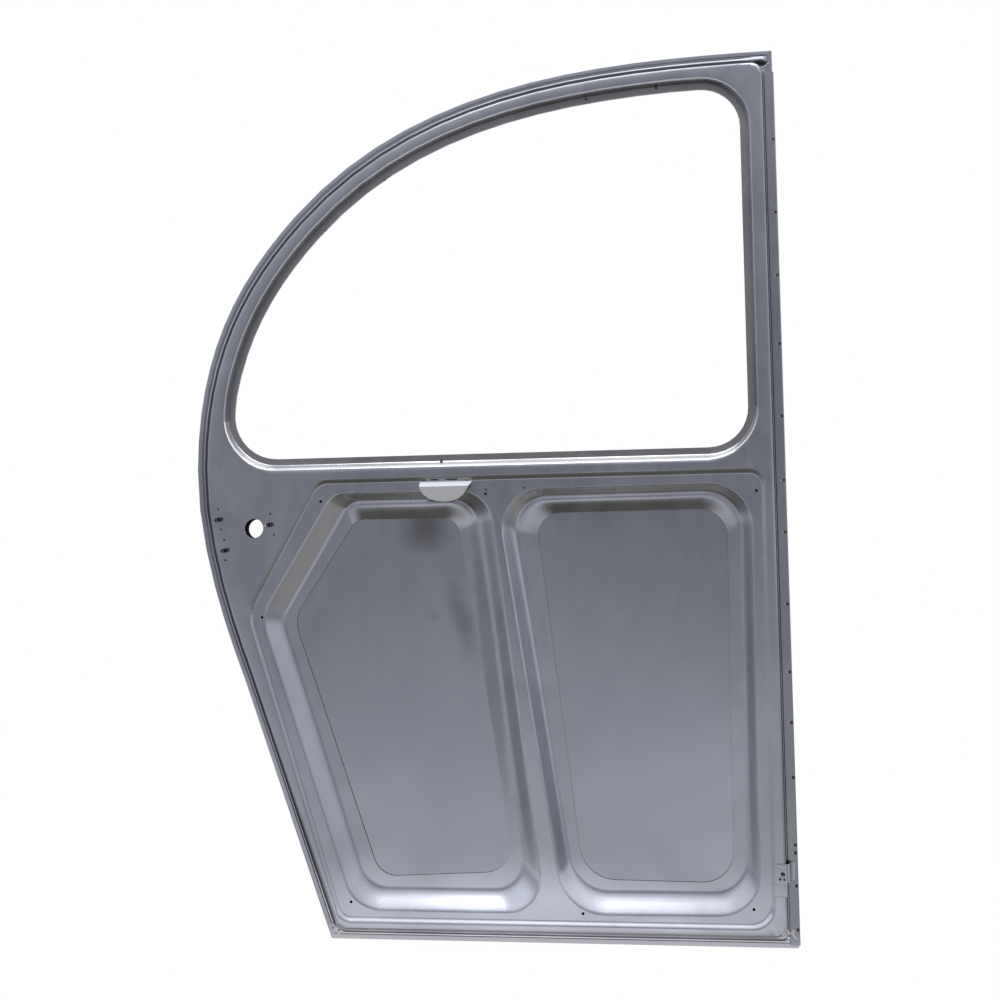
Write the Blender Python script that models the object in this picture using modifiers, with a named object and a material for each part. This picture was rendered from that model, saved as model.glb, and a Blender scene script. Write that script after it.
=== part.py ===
# Rear door shell of a small classic saloon, bare sheet steel.
# A pressed inner frame and an outer skin are hemmed together round the edge and
# meet again at the window. A rolled hinge strip runs up the hinge edge. Caged nuts
# for the lock, a grip plate and a check-strap bracket sit on the inner frame.
# Metres. +Z is up, +X points to the hinge edge, and -Y is the cabin side.
# The origin is the foot of the hinge edge, on the cabin face of the hem.

import math

import bmesh
import bpy
from mathutils import Matrix, Vector

# Door outline, seen from the cabin
DOOR_HEIGHT = 1.120
DOOR_WIDTH = 0.7592
SILL_HEIGHT = 0.6125
# Outline points: share of the width from the hinge edge, share of the height
REAR_FOOT_SHARES = (0.7650, 0.0)
REAR_BEND_SHARES = (0.9142, 0.2902)
WIDEST_SHARES = (1.0, 0.5368)
SHOULDER_SHARES = (0.8243, 0.8360)
HINGE_TOP_SHARES = (0.0, 1.0)
# Handles of the curves between them, in the same shares
HINGE_TOP_HANDLE_SHARES = (0.2815, 0.0)
SHOULDER_TOP_HANDLE_SHARES = (-0.2214, 0.1576)
SHOULDER_REAR_HANDLE_SHARES = (0.1085, -0.0773)
WIDEST_UPPER_HANDLE_SHARES = (0.0, 0.1361)
WIDEST_LOWER_HANDLE_SHARES = (0.0, -0.1085)
REAR_BEND_HANDLE_SHARE = 0.048
TOP_STEPS = 15
SHOULDER_STEPS = 12
REAR_STEPS = 7

# Sheets and the hem
SKIN_SHEET = 0.0008
FRAME_SHEET = 0.0008
SEAM_GAP = 0.0003
HEM_RETURN = 0.0060
HEM_CORNER_RADIUS = 0.0022
HEM_FOLD_STEPS = 4
SKIN_FLAT_RUN = 0.0025
FRAME_EDGE_GAP = 0.0007

# Raised border of the inner frame
FACE_RISE = 0.0170
HINGE_BORDER = 0.0164
FOOT_BORDER = 0.0175
TOP_BORDER = 0.0236
BEAD_RISE = 0.0024
FACE_CORNER_RADIUS = 0.0140
FRAME_CORNER_RADIUS = 0.0030
CORNER_STEPS = 5
# Border section: share of the border width, share of the bead, share of the face rise
BORDER_SECTION_SHARES = (
    (0.35, 0.00, 0.00),
    (0.43, 0.70, 0.00),
    (0.50, 1.00, 0.00),
    (0.56, 0.70, 0.00),
    (0.63, 0.00, 0.00),
    (0.76, 0.00, 0.02),
    (0.80, 0.00, 0.10),
    (0.90, 0.00, 0.86),
    (0.95, 0.00, 0.96),
    (1.06, 0.00, 1.00),
)

# Window opening
WINDOW_BORDER = 0.0462
WINDOW_HINGE_BORDER = 0.0428
WINDOW_TOP_RADIUS = 0.050
WINDOW_FOOT_RADIUS = 0.050
WINDOW_REAR_RADIUS = 0.058
WINDOW_CORNER_STEPS = 9
WINDOW_REBATE = 0.0040
WINDOW_FLANGE = 0.0090
SILL_FLANGE = 0.0082
WINDOW_WALL_RUN = 0.0022
SILL_WALL_RUN = 0.0078
# Window wall of the inner frame: share of the wall's run, share of its rise
WINDOW_WALL_SHARES = (
    (0.00, 0.00),
    (0.25, 0.10),
    (0.75, 0.80),
    (1.05, 0.96),
    (1.60, 1.00),
)
# Window step of the skin: share of its run, share of the rebate
REBATE_RUN = 0.0045
REBATE_SHARES = ((0.0, 1.0), (0.3, 0.8), (0.7, 0.2), (1.0, 0.0))

# Panel points below: share across from the hinge edge to the rear edge, share up to the sill
# Recess for the trim card
CARD_STEP = 0.0032
CARD_STEP_RUN = 0.0075
CARD_RADII = (0.030, 0.018, 0.026, 0.050, 0.020)
CARD_POINT_SHARES = ((0.0449, 0.0399), (0.0317, 0.9543), (0.7850, 0.9543), (0.9494, 0.6779), (0.9635, 0.0399))
CARD_STEP_SHARES = ((0.0, 0.0), (0.22, 0.10), (0.42, 0.36), (0.62, 0.70), (0.82, 0.94), (1.0, 1.0))

# Wells pressed through to the skin, each with a rounded wall and a lip round a cut-out
LIP_GAP = 0.0010
WELL_RIDGE_RISE = 0.0060
WELL_VALLEY_DROP = 0.0014
WELL_STEPS = 7
WELL_SIDE_STEPS = 4
REAR_WELL_SHARES = ((0.5126, 0.0620), (0.4865, 0.9216), (0.7596, 0.9233), (0.9255, 0.6669), (0.9246, 0.0637))
REAR_WELL_RADII = (0.044, 0.046, 0.030, 0.046, 0.048)
REAR_WELL_WALLS = (0.0245, 0.0100, 0.0250, 0.0240, 0.0265)
REAR_CUT_SHARES = ((0.5644, 0.1404), (0.5480, 0.8669), (0.7246, 0.8686), (0.8711, 0.6612), (0.8515, 0.1273))
REAR_CUT_RADII = (0.034, 0.022, 0.020, 0.042, 0.030)
FRONT_WELL_SHARES = ((0.0740, 0.0645), (0.0531, 0.9265), (0.4804, 0.9233), (0.4786, 0.0612))
FRONT_WELL_RADII = (0.052, 0.056, 0.052, 0.060)
FRONT_WELL_WALLS = (0.0165, 0.0100, 0.0185, 0.0270)
FRONT_CUT_SHARES = ((0.1246, 0.1241), (0.0951, 0.8751), (0.4149, 0.8735), (0.4272, 0.1273))
FRONT_CUT_RADII = (0.038, 0.034, 0.028, 0.044)
FOOT_RADIUS_SHARE = 0.78
# Well wall: share of its run, share of its drop
WALL_DROP_SHARES = (
    (0.00, 0.000), (0.07, 0.020), (0.15, 0.100), (0.32, 0.320), (0.50, 0.555),
    (0.68, 0.790), (0.83, 0.935), (0.92, 0.985), (1.00, 1.000),
)
# Lip: share of its width, share of the ridge's fall towards the cut-out
LIP_FALL_SHARES = ((0.10, 0.12), (0.20, 0.00), (0.42, 0.14), (0.70, 0.56), (1.00, 1.00))

# Crown of the skin below the window
CROWN_RISE = 0.0060
CROWN_SILL_BORDER = 0.0225
# The crowned grid's edges: shares across and up, from and to
CROWN_ACROSS_SHARES = (0.05, 0.85)
CROWN_UP_SHARES = (0.05, 0.96)
CROWN_COLUMNS = 12
CROWN_ROWS = 10

# Lock
# Share of the door's width from the rear edge to the lock hole's middle
LOCK_BORDER_SHARE = 0.09813
LOCK_DROP = 0.0905
LOCK_RADIUS = 0.0126
LOCK_STEPS = 24
# Slots: two by the rear edge and one at a share of the width, with heights from the lock hole's middle
SLOT_REAR_BORDERS = (0.0296, 0.0316)
SLOT_INNER_BORDER_SHARE = 0.12671
SLOT_RISES = (0.0120, -0.0280, 0.0040)
LOCK_TILT = math.radians(8.0)
SLOT_LENGTH = 0.0125
SLOT_WIDTH = 0.0056
SLOT_STEPS = 6
CAGE_SHEET = 0.0010
CAGE_OVERHANG = 0.0024
CAGE_FLANGE = 0.0065
NUT_SIDE = 0.0116
NUT_CLEARANCE = 0.0015
NUT_THICKNESS = 0.0050
NUT_BORE_RADIUS = 0.0030
NUT_BEVEL = 0.0006

# Clip holes for the trim card
CLIP_RADIUS = 0.0019
CLIP_STEPS = 8
CLIP_SHARES = (
    (0.7788, 0.9061), (0.9219, 0.6645), (0.9226, 0.0807), (0.4378, 0.0656),
    (0.0903, 0.0798), (0.0483, 0.9078), (0.4943, 0.9143),
)

# Hinge strip
STRIP_SHEET = 0.0010
STRIP_LEG = 0.0105
STRIP_FOOT_HEIGHT = 0.0040
STRIP_TOP_DROP = 0.0295
STRIP_BEAD_RADIUS = 0.0035
STRIP_BEND_RADIUS = 0.0011
STRIP_BEAD_TURN = math.radians(285)
STRIP_BEAD_STEPS = 12
STRIP_BEND_STEPS = 3
STRIP_STATIONS = 12

# Grip plate, a half moon over the rear well
GRIP_SHEET = 0.0012
GRIP_WIDTH = 0.0670
GRIP_ACROSS_SHARE = 0.5609
GRIP_TOP_CLEARANCE = 0.0007
GRIP_FOOT_LAP = 0.0025
GRIP_BEND_DROP = 0.0060
GRIP_STAND_OFF = 0.0072
# Rim of the grip plate: share of its width from the left, share of its drop
GRIP_RIM_SHARES = (
    (0.00, 0.00), (0.00, 0.30), (0.05, 0.60), (0.15, 0.84), (0.29, 0.96), (0.45, 1.00),
    (0.60, 0.97), (0.73, 0.84), (0.84, 0.61), (0.93, 0.31), (1.00, 0.00),
)

# Check-strap bracket
BRACKET_SHEET = 0.0012
BRACKET_FOOT_HEIGHT = 0.0660
BRACKET_HEIGHT = 0.0380
BRACKET_NOTCH_HEIGHT = 0.0160
BRACKET_PAD_WIDTH = 0.0165
BRACKET_FOOT_BORDER = 0.0030
BRACKET_TOE = 0.0045
BRACKET_WALL_CLEARANCE = 0.0039
BRACKET_HOLE_RADIUS = 0.0032
# Hole in the pad: share of its width from the bend, share of the bracket's height
BRACKET_HOLE_SHARES = (0.42, 0.67)
BRACKET_HOLE_STEPS = 20
BRACKET_BEND_STEPS = 3
BRACKET_BEND_RADIUS = 0.0030
CUT_OVERRUN = 0.0040

# Mid-surface levels, measured along +Y
HEM_LEVEL = SKIN_SHEET / 2
FRAME_LEVEL = SKIN_SHEET + SEAM_GAP + FRAME_SHEET / 2
SKIN_LEVEL = SKIN_SHEET + SEAM_GAP + FRAME_SHEET + SEAM_GAP + SKIN_SHEET / 2
FACE_LEVEL = FRAME_LEVEL - FACE_RISE
CARD_LEVEL = FACE_LEVEL + CARD_STEP
LIP_LEVEL = SKIN_LEVEL - SKIN_SHEET / 2 - LIP_GAP - FRAME_SHEET / 2
RIDGE_LEVEL = LIP_LEVEL - WELL_RIDGE_RISE

# Places that follow from the sizes above
FOLD_RADIUS = (SKIN_LEVEL - HEM_LEVEL) / 2
FOLD_INSET = SKIN_SHEET / 2 + FOLD_RADIUS
FRAME_EDGE_INSET = FOLD_INSET + FRAME_EDGE_GAP
SKIN_LEVEL_INSET = FOLD_INSET + SKIN_FLAT_RUN
CROWN_TOP_HEIGHT = SILL_HEIGHT - CROWN_SILL_BORDER
CARD_TOP_HEIGHT = SILL_HEIGHT * CARD_POINT_SHARES[1][1]
WELL_TOP_HEIGHT = SILL_HEIGHT * REAR_WELL_SHARES[1][1]
GRIP_TOP_HEIGHT = CARD_TOP_HEIGHT - CARD_STEP_RUN - GRIP_TOP_CLEARANCE
GRIP_FOOT_HEIGHT = WELL_TOP_HEIGHT - REAR_WELL_WALLS[1] - GRIP_FOOT_LAP
CAGE_LENGTH = NUT_SIDE + CAGE_OVERHANG
CAGE_HALF_WIDTH = NUT_SIDE / 2 + NUT_CLEARANCE + CAGE_SHEET / 2
STRIP_TOP_HEIGHT = DOOR_HEIGHT - STRIP_TOP_DROP

SMOOTH_ANGLE = math.radians(35)
POINT_TOLERANCE = 0.00001


def clear_scene():
    for item in list(bpy.data.objects):
        bpy.data.objects.remove(item, do_unlink=True)


def new_collection(name):
    collection = bpy.data.collections.new(name)
    bpy.context.scene.collection.children.link(collection)
    return collection


def steel(name, colour, roughness):
    material = bpy.data.materials.new(name)
    material.use_nodes = True
    shader = material.node_tree.nodes["Principled BSDF"]
    shader.inputs["Base Color"].default_value = (*colour, 1.0)
    shader.inputs["Roughness"].default_value = roughness
    shader.inputs["Metallic"].default_value = 1.0
    return material


def bezier(start, start_handle, end_handle, end, steps):
    # Points of one cubic, the last left out so that stretches chain
    points = []
    for step in range(steps):
        t = step / steps
        s = 1 - t
        points.append(s**3 * start + 3 * s * s * t * start_handle + 3 * s * t * t * end_handle + t**3 * end)
    return points


def left_normal(start, end):
    along = (end - start).normalized()
    return Vector((-along.y, along.x))


class Outline:
    """A closed outline, run anticlockwise, whose marked corners are rounded in each ring."""

    def __init__(self, points, corners, corner_steps, side_steps=0):
        self.points = [Vector(point) for point in points]
        self.corners = corners
        self.corner_steps = corner_steps
        self.side_steps = side_steps

    def edge_middles(self):
        count = len(self.points)
        return [(self.points[i] + self.points[(i + 1) % count]) / 2 for i in range(count)]

    def moved(self, insets):
        # Every point moved inward so that each side lies its own inset away
        result = []
        count = len(self.points)
        for i, point in enumerate(self.points):
            before = left_normal(self.points[i - 1], point)
            after = left_normal(point, self.points[(i + 1) % count])
            inset_before = insets[i - 1]
            inset_after = insets[i]
            turn = before.x * after.y - before.y * after.x
            if i in self.corners:
                along_x = (inset_before * after.y - inset_after * before.y) / turn
                along_y = (inset_after * before.x - inset_before * after.x) / turn
                result.append(point + Vector((along_x, along_y)))
            else:
                inset = (inset_before + inset_after) / 2
                result.append(point + (before + after) * inset / (1 + before.dot(after)))
        return result

    def ring(self, insets, levels, radii):
        # One loop of 3-D points: insets and levels go by side, radii by corner
        moved = self.moved(insets)
        count = len(moved)
        stretches = []
        for i, point in enumerate(moved):
            before_level, after_level = levels[i - 1], levels[i]
            if i not in self.corners:
                stretches.append([(point, (before_level + after_level) / 2)])
                continue
            radius = radii[self.corners.index(i)]
            stretch = []
            for step, place in enumerate(rounded(moved[i - 1], point, moved[(i + 1) % count], radius,
                                                 self.corner_steps)):
                share = step / self.corner_steps
                stretch.append((place, before_level + (after_level - before_level) * share))
            stretches.append(stretch)
        loop = []
        for i, stretch in enumerate(stretches):
            loop.extend(stretch)
            start, end = stretch[-1], stretches[(i + 1) % count][0]
            for step in range(1, self.side_steps):
                share = step / self.side_steps
                place = start[0].lerp(end[0], share)
                loop.append((place, start[1] + (end[1] - start[1]) * share))
        return [Vector((place.x, level, place.y)) for place, level in loop]


def rounded(before, corner, after, radius, steps):
    # Points of the arc that rounds one corner
    to_before = (before - corner).normalized()
    to_after = (after - corner).normalized()
    half = math.acos(max(-1.0, min(1.0, to_before.dot(to_after)))) / 2
    centre = corner + (to_before + to_after).normalized() * radius / math.sin(half)
    start = corner + to_before * radius / math.tan(half) - centre
    end = corner + to_after * radius / math.tan(half) - centre
    sweep = math.atan2(start.x * end.y - start.y * end.x, start.dot(end))
    points = []
    for step in range(steps + 1):
        turned = Matrix.Rotation(sweep * step / steps, 2) @ start
        points.append(centre + turned)
    return points


def outline_point(shares):
    return Vector((-DOOR_WIDTH * shares[0], DOOR_HEIGHT * shares[1]))


def door_outline():
    hinge_foot = Vector((0, 0))
    hinge_top = outline_point(HINGE_TOP_SHARES)
    shoulder = outline_point(SHOULDER_SHARES)
    widest = outline_point(WIDEST_SHARES)
    bend = outline_point(REAR_BEND_SHARES)
    rear_foot = outline_point(REAR_FOOT_SHARES)
    points = [hinge_foot]
    points += bezier(hinge_top, hinge_top + outline_point(HINGE_TOP_HANDLE_SHARES),
                     shoulder + outline_point(SHOULDER_TOP_HANDLE_SHARES), shoulder, TOP_STEPS)
    points += bezier(shoulder, shoulder + outline_point(SHOULDER_REAR_HANDLE_SHARES),
                     widest + outline_point(WIDEST_UPPER_HANDLE_SHARES), widest, SHOULDER_STEPS)
    points += bezier(widest, widest + outline_point(WIDEST_LOWER_HANDLE_SHARES),
                     bend + (bend - rear_foot) * REAR_BEND_HANDLE_SHARE, bend, REAR_STEPS)
    points += [bend, rear_foot]
    corners = [0, 1, len(points) - 1]
    return Outline(points, corners, CORNER_STEPS)


def border_widths(outline):
    # The raised border is widest at the top and narrowest along the foot and the hinge edge
    widths = []
    last = len(outline.points) - 1
    for i, middle in enumerate(outline.edge_middles()):
        if i == 0:
            widths.append(HINGE_BORDER)
        elif i == last:
            widths.append(FOOT_BORDER)
        else:
            widths.append(FOOT_BORDER + (TOP_BORDER - FOOT_BORDER) * middle.y / DOOR_HEIGHT)
    return widths


def window_outline(outline):
    # The arch follows the door at one border width, cut off by the sill and the hinge post
    last = len(outline.points) - 1
    arch = outline.moved([WINDOW_BORDER] * (last + 1))[2:last]
    post = -WINDOW_HINGE_BORDER
    top = next(point for point in arch if point.x < post)
    top_corner = Vector((post, top.y))
    above = [point for point in arch if point.y > SILL_HEIGHT]
    lower = next(point for point in arch if point.y <= SILL_HEIGHT)
    share = (above[-1].y - SILL_HEIGHT) / (above[-1].y - lower.y)
    rear_corner = above[-1].lerp(lower, share)
    foot_corner = Vector((post, SILL_HEIGHT))
    wall = max(share for share, _ in WINDOW_WALL_SHARES) * max(WINDOW_WALL_RUN, SILL_WALL_RUN)
    widest_ring = max(WINDOW_FLANGE, SILL_FLANGE) + wall
    top_room = WINDOW_TOP_RADIUS + widest_ring
    rear_half_angle = (above[-1] - lower).angle(Vector((1, 0))) / 2
    rear_room = (WINDOW_REAR_RADIUS + widest_ring) / math.tan(rear_half_angle)
    kept = [point for point in above
            if (point - top_corner).length > top_room and (point - rear_corner).length > rear_room]
    points = [foot_corner, top_corner] + kept + [rear_corner]
    return Outline(points, [0, 1, len(points) - 1], WINDOW_CORNER_STEPS)


def window_rings(window, sections):
    # Rings outside the opening: each section is (offset, sill offset, level)
    loops = []
    last = len(window.points) - 1
    for offset, sill_offset, level in sections:
        insets = [-offset] * last + [-sill_offset]
        grown = (offset + sill_offset) / 2
        radii = [WINDOW_FOOT_RADIUS + grown, WINDOW_TOP_RADIUS + offset, WINDOW_REAR_RADIUS + grown]
        loops.append(window.ring(insets, [level] * (last + 1), radii))
    return loops


def rear_edge_x(outline, height):
    # Where the rear edge of the door stands at one height
    points = outline.points[1:]
    for upper, lower in zip(points, points[1:]):
        if lower.y <= height <= upper.y and lower.x < points[-1].x + POINT_TOLERANCE:
            share = (upper.y - height) / max(upper.y - lower.y, POINT_TOLERANCE)
            return upper.x + (lower.x - upper.x) * share
    return points[-1].x


def panel_point(outline, shares):
    # A place on the panel below the window
    height = SILL_HEIGHT * shares[1]
    return Vector((rear_edge_x(outline, height) * shares[0], height))


def lock_place(outline):
    height = SILL_HEIGHT - LOCK_DROP
    return Vector((rear_edge_x(outline, height) + DOOR_WIDTH * LOCK_BORDER_SHARE, height))


def slot_places(outline):
    places = []
    borders = [*SLOT_REAR_BORDERS, DOOR_WIDTH * SLOT_INNER_BORDER_SHARE]
    for border, rise in zip(borders, SLOT_RISES):
        height = lock_place(outline).y + rise
        places.append(Vector((rear_edge_x(outline, height) + border, height)))
    return places


def crown(outline, x, z):
    # How far the skin bulges outward at one place below the window
    if not 0 < z < CROWN_TOP_HEIGHT:
        return 0.0
    across = x / rear_edge_x(outline, z)
    up = z / CROWN_TOP_HEIGHT
    if not 0 < across < 1:
        return 0.0
    return CROWN_RISE * 16 * across * (1 - across) * up * (1 - up)


def circle_ring(place, radius, steps, level):
    loop = []
    for step in range(steps):
        angle = 2 * math.pi * step / steps
        loop.append(Vector((place[0] + radius * math.cos(angle), level, place[1] + radius * math.sin(angle))))
    return loop


def slot_ring(place, length, width, tilt, level):
    # A slot with round ends
    radius = width / 2
    half = length / 2 - radius
    loop = []
    for side in (1, -1):
        for step in range(SLOT_STEPS + 1):
            angle = side * math.pi / 2 - side * math.pi * (step / SLOT_STEPS)
            angle = angle if side > 0 else math.pi - angle
            along = side * half + radius * math.cos(angle)
            across = radius * math.sin(angle)
            x = place[0] + along * math.cos(tilt) - across * math.sin(tilt)
            z = place[1] + along * math.sin(tilt) + across * math.cos(tilt)
            loop.append(Vector((x, level, z)))
    return loop


def add_loop(mesh, points):
    verts = [mesh.verts.new(point) for point in points]
    return [mesh.edges.new((verts[i - 1], verts[i])) for i in range(len(verts))]


def add_bands(mesh, loops):
    # Lofts each loop to the next, point by point, and returns the first and the last loop's edges
    rows = [[mesh.verts.new(point) for point in loop] for loop in loops]
    for row, following in zip(rows, rows[1:]):
        for i in range(len(row)):
            mesh.faces.new((row[i - 1], row[i], following[i], following[i - 1]))
    rims = []
    for row in (rows[0], rows[-1]):
        rims.append([mesh.edges.get((row[i - 1], row[i])) for i in range(len(row))])
    return rims


def fill_flat(mesh, edge_loops):
    edges = [edge for loop in edge_loops for edge in loop]
    bmesh.ops.triangle_fill(mesh, use_beauty=True, edges=edges, normal=(0, -1, 0))


def finish_sheet(name, mesh, thickness, material, collection):
    # Turns an open surface into a sheet of even thickness
    bmesh.ops.recalc_face_normals(mesh, faces=mesh.faces)
    data = bpy.data.meshes.new(name)
    mesh.to_mesh(data)
    mesh.free()
    data.shade_smooth()
    data.set_sharp_from_angle(angle=SMOOTH_ANGLE)
    item = bpy.data.objects.new(name, data)
    collection.objects.link(item)
    item.data.materials.append(material)
    solid = item.modifiers.new("sheet", 'SOLIDIFY')
    solid.thickness = thickness
    solid.offset = 0
    solid.use_even_offset = True
    return item


def well_rings(outline, shares, radii, walls, cut_shares, cut_radii, top_side):
    # Card level down the rounded wall to the lip, then across the lip to the cut-out
    count = len(shares)
    well = Outline([panel_point(outline, pair) for pair in shares], list(range(count)), WELL_STEPS, WELL_SIDE_STEPS)
    foot_points = well.moved(walls)
    cut_points = [panel_point(outline, pair) for pair in cut_shares]
    sides = range(count)
    loops = []
    depth = LIP_LEVEL - CARD_LEVEL
    valley_depth = RIDGE_LEVEL - CARD_LEVEL + WELL_VALLEY_DROP

    def crowned(loop):
        for point in loop:
            point.y += crown(outline, point.x, point.z) * (point.y - CARD_LEVEL) / depth
        return loop

    for run_share, drop_share in WALL_DROP_SHARES:
        levels = [CARD_LEVEL + (valley_depth if i == top_side else depth) * drop_share for i in sides]
        insets = [wall * run_share for wall in walls]
        ring_radii = [radius * (1 - (1 - FOOT_RADIUS_SHARE) * run_share) for radius in radii]
        loops.append(crowned(well.ring(insets, levels, ring_radii)))
    for width_share, fall_share in LIP_FALL_SHARES:
        points = [foot.lerp(cut, width_share) for foot, cut in zip(foot_points, cut_points)]
        lip = Outline(points, list(range(count)), WELL_STEPS, WELL_SIDE_STEPS)
        ring_radii = [radius * FOOT_RADIUS_SHARE + (cut - radius * FOOT_RADIUS_SHARE) * width_share
                      for radius, cut in zip(radii, cut_radii)]
        top_level = RIDGE_LEVEL + WELL_RIDGE_RISE * fall_share
        levels = [top_level if i == top_side else LIP_LEVEL for i in sides]
        loops.append(crowned(lip.ring([0] * count, levels, ring_radii)))
    return loops


def card_rings(outline):
    points = [panel_point(outline, shares) for shares in CARD_POINT_SHARES]
    card = Outline(points, list(range(len(points))), WELL_STEPS)
    loops = []
    for run_share, drop_share in CARD_STEP_SHARES:
        inset = CARD_STEP_RUN * run_share
        radii = [radius - inset / 2 for radius in CARD_RADII]
        level = FACE_LEVEL + CARD_STEP * drop_share
        loops.append(card.ring([inset] * len(points), [level] * len(points), radii))
    return loops


def border_rings(outline):
    # Flange, bead, wall and rounded corner of the raised face
    widths = border_widths(outline)
    corner_count = len(outline.corners)
    flat = [FRAME_LEVEL] * len(widths)
    loops = [outline.ring([FRAME_EDGE_INSET] * len(widths), flat, [HEM_CORNER_RADIUS] * corner_count)]
    for width_share, bead_share, rise_share in BORDER_SECTION_SHARES:
        insets = [width * width_share for width in widths]
        levels = []
        for i in range(len(widths)):
            bead = 0 if i == 0 else BEAD_RISE * bead_share
            levels.append(FRAME_LEVEL - bead - FACE_RISE * rise_share)
        radius = FRAME_CORNER_RADIUS + (FACE_CORNER_RADIUS - FRAME_CORNER_RADIUS) * min(width_share, 1)
        loops.append(outline.ring(insets, levels, [radius] * corner_count))
    return loops


def inner_frame(outline, window, material, collection):
    mesh = bmesh.new()
    border = add_bands(mesh, border_rings(outline))
    flange_level = FRAME_LEVEL - WINDOW_REBATE
    rise = flange_level - FACE_LEVEL
    sections = [(0, 0, flange_level)]
    for run_share, rise_share in WINDOW_WALL_SHARES:
        sections.append((WINDOW_FLANGE + WINDOW_WALL_RUN * run_share,
                         SILL_FLANGE + SILL_WALL_RUN * run_share, flange_level - rise * rise_share))
    opening = add_bands(mesh, window_rings(window, sections))
    card = add_bands(mesh, card_rings(outline))
    rear = add_bands(mesh, well_rings(outline, REAR_WELL_SHARES, REAR_WELL_RADII, REAR_WELL_WALLS,
                                      REAR_CUT_SHARES, REAR_CUT_RADII, 1))
    front = add_bands(mesh, well_rings(outline, FRONT_WELL_SHARES, FRONT_WELL_RADII, FRONT_WELL_WALLS,
                                       FRONT_CUT_SHARES, FRONT_CUT_RADII, 1))
    holes = [add_loop(mesh, circle_ring(lock_place(outline), LOCK_RADIUS, LOCK_STEPS, FACE_LEVEL))]
    for place in slot_places(outline):
        holes.append(add_loop(mesh, slot_ring(place, SLOT_LENGTH, SLOT_WIDTH, LOCK_TILT, FACE_LEVEL)))
    clips = []
    for shares in CLIP_SHARES:
        ring = circle_ring(panel_point(outline, shares), CLIP_RADIUS, CLIP_STEPS, CARD_LEVEL)
        clips.append(add_loop(mesh, ring))
    fill_flat(mesh, [border[-1], opening[-1], card[0]] + holes)
    fill_flat(mesh, [card[-1], rear[0], front[0]] + clips)
    return finish_sheet("inner_frame", mesh, FRAME_SHEET, material, collection)


def hem_rings(outline):
    # From the return's edge, round the fold, to the skin's own level
    count = len(outline.points)
    corner_count = len(outline.corners)
    fold_middle = (SKIN_LEVEL + HEM_LEVEL) / 2
    sections = [(HEM_RETURN, HEM_LEVEL)]
    for step in range(HEM_FOLD_STEPS + 1):
        angle = math.pi * step / HEM_FOLD_STEPS
        sections.append((FOLD_INSET - FOLD_RADIUS * math.sin(angle), fold_middle - FOLD_RADIUS * math.cos(angle)))
    sections.append((SKIN_LEVEL_INSET, SKIN_LEVEL))
    loops = []
    for inset, level in sections:
        loops.append(outline.ring([inset] * count, [level] * count, [HEM_CORNER_RADIUS] * corner_count))
    return loops


def crown_grid(mesh, outline):
    # A grid for the skin below the window, flat at first, and the edges round it
    grid = bmesh.ops.create_grid(mesh, x_segments=CROWN_COLUMNS, y_segments=CROWN_ROWS, size=1 / 2)
    for vert in grid["verts"]:
        across = CROWN_ACROSS_SHARES[0] + (CROWN_ACROSS_SHARES[1] - CROWN_ACROSS_SHARES[0]) * (vert.co.x + 1 / 2)
        up = CROWN_UP_SHARES[0] + (CROWN_UP_SHARES[1] - CROWN_UP_SHARES[0]) * (vert.co.y + 1 / 2)
        height = CROWN_TOP_HEIGHT * up
        vert.co = (rear_edge_x(outline, height) * across, SKIN_LEVEL, height)
    rim = {edge for vert in grid["verts"] for edge in vert.link_edges if len(edge.link_faces) == 1}
    return grid["verts"], sorted(rim, key=lambda edge: edge.index)


def outer_skin(outline, window, material, collection):
    mesh = bmesh.new()
    hem = add_bands(mesh, hem_rings(outline))
    flange = WINDOW_FLANGE
    sections = [(0, 0, SKIN_LEVEL - WINDOW_REBATE)]
    for run_share, rise_share in REBATE_SHARES:
        offset = flange + REBATE_RUN * run_share
        sill_offset = SILL_FLANGE + REBATE_RUN * run_share
        sections.append((offset, sill_offset, SKIN_LEVEL - WINDOW_REBATE * rise_share))
    opening = add_bands(mesh, window_rings(window, sections))
    lock = add_loop(mesh, circle_ring(lock_place(outline), LOCK_RADIUS, LOCK_STEPS, SKIN_LEVEL))
    crowned, rim = crown_grid(mesh, outline)
    fill_flat(mesh, [hem[-1], opening[-1], lock, rim])
    for vert in crowned:
        vert.co.y += crown(outline, vert.co.x, vert.co.z)
    return finish_sheet("outer_skin", mesh, SKIN_SHEET, material, collection)


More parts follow.
